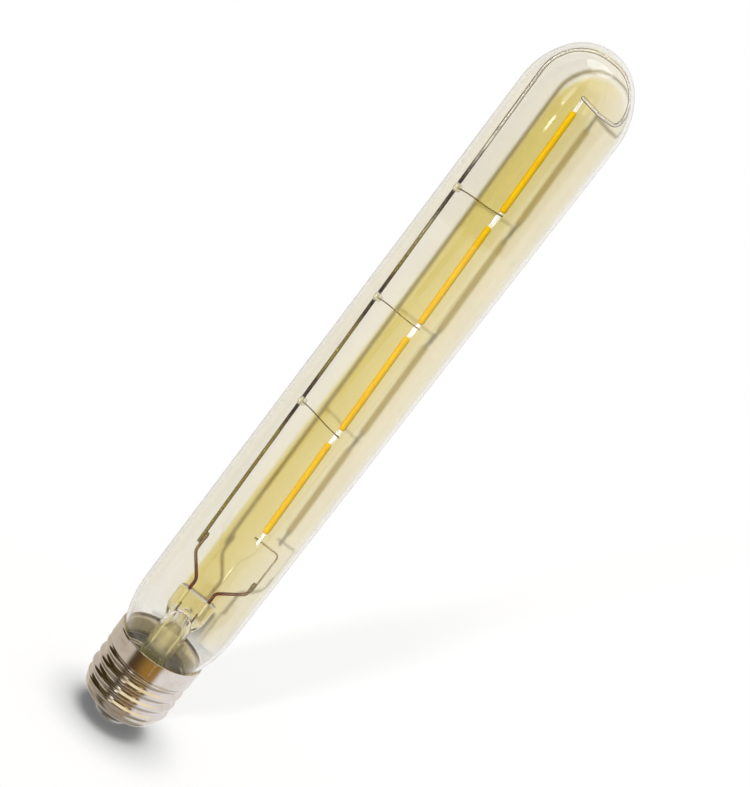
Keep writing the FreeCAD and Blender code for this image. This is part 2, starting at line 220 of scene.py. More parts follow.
def joined_shells(name: str, skin: np.ndarray, hollow: np.ndarray) -> bpy.types.Object:
    """One object of an outer surface and a closed hollow inside it, both drawn to poles.

    Args:
        name: Name of the object.
        skin: Rings of the outer surface from the top down.
        hollow: Rings of the hollow from the bottom up, which turns its faces inwards.

    Returns:
        The object.
    """
    outer, faces = wrapped_grid(skin, Ends.POLES)
    inner, more = wrapped_grid(hollow, Ends.POLES)
    faces += [[len(outer) + number for number in face] for face in more]
    return make_mesh(name, np.vstack([outer, inner]), faces)


def turned_rings(profile: np.ndarray, columns: int = 96) -> np.ndarray:
    """Rings of a surface of revolution: radius times cosine and sine of the turn, height unchanged.

    Args:
        profile: Radius and height pairs, going down on the outside.
        columns: Points round the axis.

    Returns:
        Array of rows by columns by three coordinates.
    """
    turn = around(columns)
    r, z = profile[:, :1], profile[:, 1:]
    return np.stack(np.broadcast_arrays(r * np.cos(turn), r * np.sin(turn), z), axis=-1)


def turned(name: str, profile: np.ndarray, ends: Ends, columns: int = 96) -> bpy.types.Object:
    """Object whose surface is a profile turned about the lamp's axis.

    Args:
        name: Name of the object.
        profile: Radius and height pairs, going down on the outside.
        ends: How the profile closes.
        columns: Points round the axis.

    Returns:
        The object.
    """
    return wrapped_surface(name, turned_rings(profile, columns), ends)


def bent(corners: Sequence[Pair], radii: Sequence[float]) -> np.ndarray:
    """Straight runs with tangent arcs at the inner corners.

    The arc's centre lies on the corner's bisector at the radius over the sine of half the angle,
    and its points turn evenly from the first tangent point to the second.

    Args:
        corners: X and Z of the corner points.
        radii: Bend radius at each inner corner.

    Returns:
        Points of the path.
    """
    points = [np.asarray(corner, float) for corner in corners]
    stretches = [points[0][None]]
    for before, corner, after, radius in zip(points, points[1:], points[2:], radii):
        back = (before - corner) / np.linalg.norm(before - corner)
        ahead = (after - corner) / np.linalg.norm(after - corner)
        half = math.acos(float(back @ ahead)) / 2
        middle = (back + ahead) / np.linalg.norm(back + ahead)
        centre = corner + middle * radius / math.sin(half)
        first = corner + back * radius / math.tan(half) - centre
        last = corner + ahead * radius / math.tan(half) - centre
        sweep = math.pi - 2 * half
        share = np.linspace(0, 1, max(4, int(sweep / 0.08)) + 1)[:, None]
        blend = np.sin((1 - share) * sweep) * first + np.sin(share * sweep) * last
        stretches.append(centre + blend / math.sin(sweep))
    stretches.append(points[-1][None])
    return chain(*stretches)


def divided(path: np.ndarray, spacing: float) -> np.ndarray:
    """Path with extra points, evenly spaced along its length, between its own.

    Args:
        path: Points of the path.
        spacing: Largest distance between points.

    Returns:
        Points of the divided path.
    """
    length = np.concatenate([[0], np.cumsum(np.linalg.norm(np.diff(path, axis=0), axis=1))])
    even = np.linspace(0, length[-1], int(length[-1] / spacing) + 2)
    every = np.unique(np.round(np.concatenate([length, even]), 4))
    return np.column_stack([np.interp(every, length, path[:, k]) for k in range(path.shape[1])])


def swept(
    name: str,
    path: np.ndarray,
    radius: float,
    depth: float = 0.0,
    columns: int = 20,
    weld: float = 0.0,
) -> bpy.types.Object:
    """Round wire along a path in a plane of constant Y, with rounded ends.

    A ring's points are the path point plus the radius times the cosine of the turn along the
    path's normal and its sine along Y. The ends close over a quarter circle. At a weld the radius
    grows by the weld's share times a bell curve about a point WELD_BACK before the end.

    Args:
        name: Name of the object.
        path: X and Z pairs along the wire.
        radius: Radius of the wire.
        depth: Y of the wire's plane.
        columns: Points round the wire.
        weld: Share by which the wire is thicker at the weld near its end.

    Returns:
        The object.
    """
    along = np.gradient(path, axis=0)
    along /= np.linalg.norm(along, axis=1, keepdims=True)
    bulge = np.linspace(0, math.pi / 2, END_RINGS + 1)[1:]
    start = path[0] - along[0] * radius * np.sin(bulge)[::-1, None]
    end = path[-1] + along[-1] * radius * np.sin(bulge)[:, None]
    centre = np.vstack([start, path, end])
    first, last = np.repeat(along[:1], END_RINGS, 0), np.repeat(along[-1:], END_RINGS, 0)
    tangent = np.vstack([first, along, last])
    away = np.linalg.norm(path - path[-1], axis=1)
    body = 1 + weld * np.exp(-(((away - WELD_BACK) / WELD_WIDTH) ** 2))
    thickness = np.concatenate([np.cos(bulge)[::-1], body, np.cos(bulge) * body[-1]]) * radius
    turn = around(columns)
    out = thickness[:, None] * np.cos(turn)
    x = centre[:, :1] - tangent[:, 1:] * out
    z = centre[:, 1:] + tangent[:, :1] * out
    y = depth + thickness[:, None] * np.sin(turn)
    return wrapped_surface(name, np.stack([x, y, z], axis=-1), Ends.POLES)


# Shader graphs


class Term:
    """Output socket whose arithmetic adds Math nodes to its graph."""

    def __init__(self, graph: "Graph", socket: Any) -> None:
        """Keeps the graph and the socket.

        Args:
            graph: Graph that new nodes go into.
            socket: Output socket.
        """
        self.graph = graph
        self.socket = socket

    def _math(self, operation: str, first: Any, second: Any) -> "Term":
        """Math node on two values, each a term or a number."""
        return self.graph.add(
            "ShaderNodeMath", {"operation": operation}, {0: first, 1: second}
        ).out(0)

    def __add__(self, other: Any) -> "Term":
        """Sum."""
        return self._math("ADD", self, other)

    __radd__ = __add__

    def __sub__(self, other: Any) -> "Term":
        """Difference."""
        return self._math("SUBTRACT", self, other)

    def __rsub__(self, other: Any) -> "Term":
        """Difference from a number."""
        return self._math("SUBTRACT", other, self)

    def __mul__(self, other: Any) -> "Term":
        """Product."""
        return self._math("MULTIPLY", self, other)

    __rmul__ = __mul__

    def __truediv__(self, other: Any) -> "Term":
        """Quotient."""
        return self._math("DIVIDE", self, other)

    def __pow__(self, other: Any) -> "Term":
        """Power."""
        return self._math("POWER", self, other)

    def step(self, low: float, high: float) -> "Term":
        """Smooth step from nought to one between two limits.

        Args:
            low: Value up to which it is nought.
            high: Value from which it is one.

        Returns:
            The step.
        """
        node = self.graph.add(
            "ShaderNodeMapRange",
            {"interpolation_type": "SMOOTHSTEP"},
            {"Value": self, "From Min": low, "From Max": high, "To Min": 0.0, "To Max": 1.0},
        )
        return node.out("Result")

    def between(self, rise: Pair, fall: Pair) -> "Term":
        """One from a smooth rise to a smooth fall, and nought outside."""
        return self.step(*rise) * (1 - self.step(*fall))

    def clipped(self) -> "Term":
        """Value held between nought and one."""
        return self.graph.add("ShaderNodeClamp", {}, {"Value": self}).out(0)


class Node:
    """Node of a graph, with its outputs as terms."""

    def __init__(self, graph: "Graph", node: Any) -> None:
        """Keeps the graph and the node."""
        self.graph = graph
        self.node = node

    def out(self, key: Any) -> Term:
        """Output socket by name or number."""
        return Term(self.graph, self.node.outputs[key])


class Graph:
    """Node tree of a material or world, filled through one method."""

    def __init__(self, tree: Any) -> None:
        """Empties the tree.

        Args:
            tree: Node tree to fill.
        """
        self.tree = tree
        tree.nodes.clear()

    def add(self, kind: str, settings: Dict[str, Any], inputs: Dict[Any, Any]) -> Node:
        """Adds one node.

        Args:
            kind: Node type.
            settings: Properties set before the sockets.
            inputs: Socket name or number to a number, colour or term.

        Returns:
            The node.
        """
        node = self.tree.nodes.new(kind)
        for key, value in settings.items():
            setattr(node, key, value)
        for key, value in inputs.items():
            socket = node.inputs[key]
            if isinstance(value, Term):
                self.tree.links.new(value.socket, socket)
            elif isinstance(value, tuple) and len(value) == 3 and socket.type == "RGBA":
                socket.default_value = (*value, 1.0)
            else:
                socket.default_value = value
        return Node(self, node)

    def body(self, **inputs: Any) -> Term:
        """Principled shader; an underscore in a name stands for a space."""
        named = {key.replace("_", " "): value for key, value in inputs.items()}
        return self.add("ShaderNodeBsdfPrincipled", {}, named).out(0)

    def clear(self, colour: Colour = (1.0, 1.0, 1.0)) -> Term:
        """Transparent shader that filters light by a colour."""
        return self.add("ShaderNodeBsdfTransparent", {}, {"Color": colour}).out(0)

    def blend(self, factor: Term, first: Term, second: Term) -> Term:
        """Mix of two shaders."""
        return self.add("ShaderNodeMixShader", {}, {0: factor, 1: first, 2: second}).out(0)

    def ray(self, name: str) -> Term:
        """One output of the light path."""
        return self.add("ShaderNodeLightPath", {}, {}).out(name)

    def mix(self, factor: Any, first: Any, second: Any) -> Term:
        """Blend of two colours.

        Args:
            factor: Share of the second colour.
            first: Colour or term.
            second: Colour or term.

        Returns:
            The blended colour.
        """
        node = self.add("ShaderNodeMix", {"data_type": "RGBA"}, {})
        for index, value in ((0, factor), (6, first), (7, second)):
            socket = node.node.inputs[index]
            if isinstance(value, Term):
                self.tree.links.new(value.socket, socket)
            else:
                socket.default_value = (*value, 1.0) if index else value
        return node.out(2)

    def place(self) -> Term:
        """Object coordinates in metres."""
        return self.add("ShaderNodeTexCoord", {}, {}).out("Object")

    def axis(self, name: str) -> Term:
        """One object coordinate in millimetres."""
        parts = self.add("ShaderNodeSeparateXYZ", {}, {"Vector": self.place()})
        return parts.out(name) * (1 / MM)

    def noise(self, scale: float, detail: float = 3.0, vector: Optional[Term] = None) -> Term:
        """Noise between nought and one.

        Args:
            scale: Cells per metre.
            detail: Octaves.
            vector: Coordinates, or the object's own when left out.

        Returns:
            The noise value.
        """
        where = vector or self.place()
        return self.add(
            "ShaderNodeTexNoise", {}, {"Vector": where, "Scale": scale, "Detail": detail}
        ).out("Fac")

    def drawn(self, across: float, along: float, detail: float) -> Term:
        """Noise drawn out or pressed together along Z.

        Args:
            across: Cells per metre across Z.
            along: Cells per metre along Z.
            detail: Octaves.

        Returns:
            The noise value.
        """
        scale = (across, across, along)
        where = self.add("ShaderNodeMapping", {}, {"Vector": self.place(), "Scale": scale})
        return self.noise(1.0, detail, where.out(0))

    def bump(self, height: Term, strength: float, distance: float) -> Term:
        """Normal bent by a height field.

        Args:
            height: Height between nought and one.
            strength: Share of the bend.
            distance: Height of one unit in metres.

        Returns:
            The normal.
        """
        return self.add(
            "ShaderNodeBump", {}, {"Strength": strength, "Distance": distance, "Height": height}
        ).out(0)


class Finish:
    """Base of every finish: makes its material once and keeps it."""

    made: Dict["Finish", bpy.types.Material] = {}

    def material(self) -> bpy.types.Material:
        """Makes the material at the first call.

        Returns:
            Material of this finish.
        """
        if self not in Finish.made:
            name = type(self).__name__ + "_" + str(len(Finish.made))
            material = bpy.data.materials.new(name)
            material.use_nodes = True
            graph = Graph(material.node_tree)
            surface = self.surface(graph)
            graph.add("ShaderNodeOutputMaterial", {}, {"Surface": surface})
            Finish.made[self] = material
        return Finish.made[self]

    def surface(self, graph: Graph) -> Term:
        """Shader of the finish."""
        raise NotImplementedError

    def passed(self, graph: Graph, body: Term, colour: Colour) -> Term:
        """Shader that lets shadow rays through in a colour.

        Args:
            graph: Graph of the material.
            body: Shader for every other ray.
            colour: Share of the light that gets through.

        Returns:
            The mixed shader.
        """
        return graph.blend(graph.ray("Is Shadow Ray"), body, graph.clear(colour))


@dataclass(frozen=True)
class LampGlass(Finish):
    """Glass that lets lamps through: a tinted refraction for every ray that is seen.

    For a shadow ray the wall is a filter that opens where the ray meets it at a slant. The filter
    deepens towards negative X, which paints the amber shadow cast on the sheet behind deepest on
    the support wire's side. For a ray that left a matt surface it is one plain filter, far more
    amber than the glass's tint, which paints the shade on the sheet behind amber.
    """

    tint: Colour = (0.915, 0.905, 0.88)
    edge: Colour = (0.82, 0.81, 0.78)
    # Painted shadow: filtered and deep shape the amber shadow cast on the sheet, deepest towards
    # negative X, and fill paints the shade there amber.
    filtered: Colour = (0.985, 0.97, 0.93)
    deep: Colour = (0.945, 0.90, 0.64)
    fill: Colour = (0.99, 0.93, 0.24)
    streaks: float = 0.012
    refraction: float = 1.48
    rim: Pair = (0.29, 0.33)
    span: Pair = (-14.5, 7.0)
    milk: Colour = (0.90, 0.87, 0.80)
    milky: Tuple[float, float, float] = (0.0, 18.0, 26.0)

    def surface(self, graph: Graph) -> Term:
        """Glass with the faint draw lines of a machine-made tube.

        Args:
            graph: Graph of the material.

        Returns:
            The shader.
        """
        drawn = graph.drawn(900.0, 18.0, 2.0)
        faint = graph.noise(60.0, 2.0)
        slant = graph.add("ShaderNodeLayerWeight", {}, {"Blend": 0.5}).out("Facing")
        deeper = tuple(0.975 * part for part in self.tint)
        colour = graph.mix(faint.step(0.35, 0.7), self.tint, deeper)
        colour = graph.mix(slant.step(0.60, 0.80), colour, self.edge)
        glass = graph.body(
            Base_Color=colour,
            Roughness=0.0,
            IOR=self.refraction,
            Transmission_Weight=1.0,
            Normal=graph.bump(drawn, self.streaks, 0.0002),
        )
        if self.milky[0] > 0:
            cloud = graph.add("ShaderNodeBsdfDiffuse", {}, {"Color": self.milk}).out(0)
            share = (1 - graph.axis("Z").step(*self.milky[1:])) * self.milky[0]
            glass = graph.blend(share, glass, cloud)
        # Painted shadow: the shadow filters deepen towards negative X to shape the amber shadow on
        # the sheet, and the plain filter for matt rays paints the shade there amber.
        coat, thin, plain = map(graph.clear, (self.deep, self.filtered, self.fill))
        wall = graph.blend(graph.axis("X").step(*self.span), coat, thin)
        shadow = graph.ray("Is Shadow Ray")
        matt = graph.ray("Diffuse Depth").clipped()
        shaded = graph.blend(slant.step(*self.rim), wall, graph.clear())
        dimmed = graph.blend(matt * (1 - shadow), shaded, plain)
        return graph.blend((shadow + matt).clipped(), glass, dimmed)


@dataclass(frozen=True)
class NickelPlate(Finish):
    """Bright nickel on rolled brass, with rolling marks and a warm cast in random patches."""

    colour: Colour = (0.70, 0.665, 0.63)
    warm: Colour = (0.62, 0.56, 0.47)
    rough: float = 0.09

    def surface(self, graph: Graph) -> Term:
        """Metal with patchy tarnish and fine scratches round the axis.

        Args:
            graph: Graph of the material.

        Returns:
            The shader.
        """
        patches = graph.noise(220.0, 4.0)
        scratch = graph.drawn(160.0, 5200.0, 4.0)
        colour = graph.mix(patches.step(0.42, 0.72), self.colour, self.warm)
        rough = self.rough + patches * 0.10 + scratch.step(0.5, 0.75) * 0.06
        normal = graph.bump(scratch, 0.12, 0.00012)
        return graph.body(Base_Color=colour, Metallic=1.0, Roughness=rough, Normal=normal)


@dataclass(frozen=True)
class MetalWire(Finish):
    """Drawn or punched metal with draw lines and dull patches."""

    colour: Colour = (0.46, 0.37, 0.19)
    dull: Colour = (0.26, 0.19, 0.07)
    rough: float = 0.32
    cells: float = 900.0

    def surface(self, graph: Graph) -> Term:
        """Metal whose colour and gloss vary along the wire.

        Args:
            graph: Graph of the material.

        Returns:
            The shader.
        """
        patches = graph.noise(self.cells, 4.0)
        lines = graph.drawn(9000.0, 700.0, 3.0)
        return graph.body(
            Base_Color=graph.mix(patches.step(0.35, 0.7), self.colour, self.dull),
            Metallic=1.0,
            Specular_Tint=self.dull,
            Roughness=self.rough + patches * 0.2,
            Normal=graph.bump(lines, 0.3, 0.00004),
        )


@dataclass(frozen=True)
class SealedWire(Finish):
    """Nickel wire: straw coloured below the hook, burnt brown by each bead's seal, and at the hook
    a painted highlight, pale where it faces the viewer and dark at its edges.

    Its shadow lets a little golden light through, a painted tint of the shadow that it casts.
    """

    glint: Colour = (0.34, 0.27, 0.02)
    sealed: Colour = (0.90, 0.88, 0.80)
    bright: Colour = (0.86, 0.82, 0.72)
    straw: Colour = (0.24, 0.18, 0.025)
    burnt: Colour = (0.045, 0.02, 0.002)
    outline: Colour = (0.10, 0.075, 0.03)
    seals: Tuple[float, ...] = (105.7, 140.2, 175.2)
    reach: float = 13.0
    hook: Pair = (150.0, 192.0)

    def near_seal(self, height: Term, low: float, high: float) -> Term:
        """Nearness to any seal: one less a smooth step of the squared distance, summed and clipped.

        Args:
            height: Height in millimetres.
            low: Squared distance up to which it is one.
            high: Squared distance from which it is nought.

        Returns:
            The nearness.
        """
        away = [height - seal for seal in self.seals]
        return sum(1 - (gap * gap).step(low, high) for gap in away).clipped()

    def surface(self, graph: Graph) -> Term:
        """Colour by height, with a distance to the nearest seal, over draw lines.

        Args:
            graph: Graph of the material.

        Returns:
            The shader.
        """
        mottled = graph.noise(500.0, 4.0)
        height = graph.axis("Z") + (mottled - 0.5) * 9.0
        burnt = self.near_seal(height, 4.0, self.reach**2)
        # Painted highlight over the hook: pale where the wire faces the viewer, dark at its edges.
        facing = graph.add("ShaderNodeLayerWeight", {}, {"Blend": 0.5}).out("Facing")
        painted_shine = graph.mix(facing.step(0.06, 0.42), self.bright, self.outline)
        colour = graph.mix(height.step(*self.hook), self.straw, painted_shine)
        colour = graph.mix(burnt, colour, self.burnt)
        colour = graph.mix(self.near_seal(graph.axis("Z"), 0.9, 1.7), colour, self.sealed)
        lines = graph.drawn(9000.0, 700.0, 3.0)
        metal = graph.body(
            Base_Color=colour,
            Metallic=1.0,
            Specular_Tint=self.outline,
            Roughness=0.20 + mottled * 0.2,
            Normal=graph.bump(lines, 0.3, 0.00004),
        )
        return self.passed(graph, metal, self.glint)


@dataclass(frozen=True)
class LeadWire(Finish):
    """Copper-clad lead: pale in the glass, dark red-brown above it, then fading to bare metal."""

    sheath: Colour = (0.92, 0.87, 0.74)
    oxide: Colour = (0.13, 0.028, 0.004)
    # Painted shadow tint: shadow rays pass this little golden light through the lead.
    glint: Colour = (0.36, 0.28, 0.04)
    bare: Colour = (0.22, 0.15, 0.04)
    glassed: float = 44.2
    low: float = 48.5
    high: float = 56.0

    def surface(self, graph: Graph) -> Term:
        """Blend by height, with mottled edges.

        Args:
            graph: Graph of the material.

        Returns:
            The shader.
        """
        mottled = graph.noise(1600.0, 4.0)
        height = graph.axis("Z") + (mottled - 0.5) * 1.2
        bare = height.step(self.low, self.high)
        out = height.step(self.glassed - 0.8, self.glassed)
        colour = graph.mix(out, self.sheath, graph.mix(bare, self.oxide, self.bare))
        metal = graph.body(
            Base_Color=colour,
            Metallic=out,
            Specular_Tint=self.oxide,
            Roughness=0.42 - bare * 0.12 + mottled * 0.1,
            Normal=graph.bump(mottled, 0.3, 0.00006),
        )
        return self.passed(graph, metal, self.glint)


@dataclass(frozen=True)
class Phosphor(Finish):
    """Phosphor-filled silicone: yellow-orange, satin, a little lumpy, faintly translucent."""

    let_through: Colour = (0.66, 0.58, 0.10)
    colour: Colour = (0.89, 0.53, 0.001)
    pale: Colour = (0.93, 0.60, 0.004)

    def surface(self, graph: Graph) -> Term:
        """Yellow coat with soft swells along it and a fine grain.

        Args:
            graph: Graph of the material.

        Returns:
            The shader.
        """
        swell = graph.drawn(500.0, 260.0, 2.0)
        grain = graph.noise(7000.0, 3.0)
        colour = graph.mix(swell.step(0.3, 0.75), self.colour, self.pale)
        height = swell * 0.8 + grain * 0.2
        coat = graph.body(
            Base_Color=colour,
            Roughness=0.42 + grain * 0.15,
            IOR=1.42,
            # Painted glow: a faint emission in the coat's own colour, though the lamp is not lit.
            Emission_Color=colour,
            Emission_Strength=0.12,
            Normal=graph.bump(height, 0.35, 0.00015),
        )
        return self.passed(graph, coat, self.let_through)


@dataclass(frozen=True)
class Moulded(Finish):
    """Opaque moulded, fired or pressed body: mottled colour, fine grain, its own gloss."""

    colour: Colour = (0.02, 0.02, 0.022)
    second: Colour = (0.035, 0.035, 0.04)
    rough: float = 0.25
    cells: float = 700.0
    relief: float = 0.15
    let_through: Optional[Colour] = None

    def surface(self, graph: Graph) -> Term:
        """Two colours blended by noise over a fine grain; a translucent body passes shadow rays.

        Args:
            graph: Graph of the material.

        Returns:
            The shader.
        """
        patches = graph.noise(self.cells, 5.0)
        grain = graph.noise(self.cells * 7, 3.0)
        body = graph.body(
            Base_Color=graph.mix(patches.step(0.35, 0.7), self.colour, self.second),
            Roughness=self.rough + patches * 0.12,
            Normal=graph.bump(grain, self.relief, 0.0001),
        )
        return self.passed(graph, body, self.let_through) if self.let_through else body


@dataclass(frozen=True)
class StagePaper(Finish):
    """Matt white paper of the floor and of the sheet behind the lamp, which hides from behind."""

    colour: Colour = (0.97, 0.97, 0.965)
    one_sided: bool = False
    fade: Pair = (19.0, 34.0)

    def surface(self, graph: Graph) -> Term:
        """Diffuse white with hardly any grain.

        A one-sided sheet is clear from behind, to shadow rays and to the camera's own rays, and
        fades out towards the floor.

        Args:
            graph: Graph of the material.

        Returns:
            The shader.
        """
        grain = graph.noise(300.0, 2.0)
        tone = graph.mix(grain, self.colour, tuple(0.995 * part for part in self.colour))
        paper = graph.body(Base_Color=tone, Roughness=1.0, Specular_IOR_Level=0.0)
        if not self.one_sided:
            return paper
        behind = graph.add("ShaderNodeNewGeometry", {}, {}).out("Backfacing")
        hidden = behind + graph.ray("Is Shadow Ray") + graph.ray("Is Camera Ray")
        low = 1 - graph.axis("Z").step(*self.fade)
        return graph.blend((hidden + low).clipped(), paper, graph.clear())


AMBER_GLASS = LampGlass()
STEM_GLASS = LampGlass(
    tint=(0.985, 0.98, 0.96), edge=(0.85, 0.82, 0.74), filtered=(0.95, 0.93, 0.86),
    deep=(0.95, 0.93, 0.86), fill=(0.97, 0.95, 0.88), streaks=0.06, refraction=1.25,
    rim=(1.5, 2.0), milky=(0.15, 29.0, 39.0),
)
BEAD_GLASS = LampGlass(
    tint=(0.98, 0.97, 0.95), edge=(0.86, 0.84, 0.79), filtered=(0.9, 0.88, 0.8),
    deep=(0.9, 0.88, 0.8), fill=(0.95, 0.93, 0.85), streaks=0.06,
    rim=(1.5, 2.0), milk=(0.97, 0.96, 0.95), milky=(0.25, 300.0, 310.0),
)
NICKEL = NickelPlate()
TIN = NickelPlate(colour=(0.62, 0.61, 0.58), warm=(0.50, 0.48, 0.42), rough=0.3)
WIRE = MetalWire()
# Painted highlight: the pins are a white metal of full reflectance, brighter than their nickel, so
# that they show as white glare.
PIN = MetalWire(colour=(1.0, 1.0, 0.99), dull=(0.96, 0.95, 0.91), rough=0.25)
TIE = MetalWire(colour=(0.11, 0.07, 0.018), dull=(0.22, 0.17, 0.06), rough=0.35, cells=260.0)
SUPPORT = SealedWire()
COPPER = MetalWire(colour=(0.34, 0.17, 0.09), dull=(0.2, 0.1, 0.055), rough=0.4)
LEAD = LeadWire()
OUTER_LEAD = LeadWire(glassed=35.5, low=36.0, high=36.4)
PHOSPHOR = Phosphor()
INSULATOR = Moulded((0.010, 0.012, 0.02), (0.02, 0.024, 0.036), 0.12, 260.0)
CEMENT = Moulded((0.74, 0.68, 0.58), (0.62, 0.55, 0.45), 0.85, 900.0, 0.6)
CERAMIC = Moulded((0.82, 0.78, 0.66), (0.72, 0.66, 0.5), 0.5, 1500.0, 0.2, (0.85, 0.80, 0.45))
BOARD = Moulded((0.02, 0.10, 0.035), (0.03, 0.15, 0.05), 0.35, 500.0, 0.2)
PACKAGE = Moulded((0.012, 0.012, 0.013), (0.03, 0.03, 0.03), 0.5, 2200.0, 0.4)
CAN = Moulded((0.05, 0.06, 0.09), (0.08, 0.09, 0.13), 0.3, 500.0, 0.1)
RESISTOR = Moulded((0.09, 0.24, 0.19), (0.13, 0.31, 0.25), 0.4, 900.0, 0.3)


def dress(piece: bpy.types.Object, finish: Finish, slot: str, *nodes: str) -> bpy.types.Object:
    """Gives a new piece its finish and body, and hides the nodes that it stands for.

    Args:
        piece: New piece in its place.
        finish: Finish of the whole piece.
        slot: Name of a material slot; not used.
        nodes: CAD nodes that the piece replaces.

    Returns:
        The piece.
    """
    piece.data.materials.clear()
    piece.data.materials.append(finish.material())
    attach(piece, BODY)
    if nodes:
        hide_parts(*nodes)
    log.info("%s: %d faces", piece.name, len(piece.data.polygons))
    return piece


def dress_node(name: str, finish: Finish) -> None:
    """Puts a finish on every slot of a CAD node.

    Args:
        name: Node that keeps its own shape.
        finish: Its finish.
    """
    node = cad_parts[name]
    if not node.data.materials:
        node.data.materials.append(finish.material())
    for index in range(len(node.data.materials)):
        node.data.materials[index] = finish.material()
    log.info("%s: dressed as it is", name)


@dataclass
class GlassTube:
    """Blown tube of even wall: straight neck, cone, shoulder arc, side, and a dome of two arcs."""

    radius: float = 15.0
    wall: float = 0.8
    length: float = 225.0
    dome_height: float = 18.0
    crown_radius: float = 13.3
    shoulder_height: float = 40.0
    shoulder_radius: float = 36.0
    slope: float = 0.29
    neck_radius: float = 11.2
    neck_bottom: float = 14.0
    neck_ease: float = 0.25

    def outline(self, inset: float) -> np.ndarray:
        """Profile from the pole down to the neck: tangent arcs about fixed centres, less the inset.

        Args:
            inset: Distance inwards from the outer face.

        Returns:
            Radius and height pairs from the top of the dome to the neck's rim.
        """
        dome = self.length - self.dome_height
        shift = self.dome_height - self.crown_radius
        side = (self.radius**2 + shift**2 - self.crown_radius**2) / (
            2 * (self.radius - self.crown_radius)
        )
        turn = math.atan2(shift, side - self.radius)
        crown = arc((0, dome + shift), self.crown_radius - inset, math.pi / 2, turn, 20)
        flank = arc((self.radius - side, dome), side - inset, turn, 0, 16)
        shoulder = arc(
            (self.radius - self.shoulder_radius, self.shoulder_height),
            self.shoulder_radius - inset,
            0,
            -self.slope,
            14,
        )
        foot_r, foot_z = shoulder[-1]
        neck = self.neck_radius - inset
        bend = foot_z - (foot_r - neck) / math.tan(self.slope)
        straight = run((self.radius - inset, dome), (self.radius - inset, self.shoulder_height), 24)
        near = self.neck_ease
        cone = run((foot_r, foot_z), (neck + near, bend + near / math.tan(self.slope)), 6)
        throat = run((neck, bend - self.wall), (neck, self.neck_bottom), 3)
        return chain(crown, flank, straight, shoulder, cone, throat)

    def build(self) -> None:
        """Makes the wall as one closed surface, pole to pole over the neck's rim."""
        outer = self.outline(0.0)
        inner = self.outline(self.wall)[::-1]
        rim_z = self.neck_bottom - self.wall * 0.25
        middle = self.neck_radius - self.wall / 2
        half = self.wall * 0.3
        rim = np.array([[middle + half, rim_z + 0.05], [middle - half, rim_z + 0.05]])
        profile = chain(outer, rim, inner)
        tube = turned("glass_tube", profile, Ends.POLES, 160)
        dress(tube, AMBER_GLASS, "amber_glass", "glass_bulb")


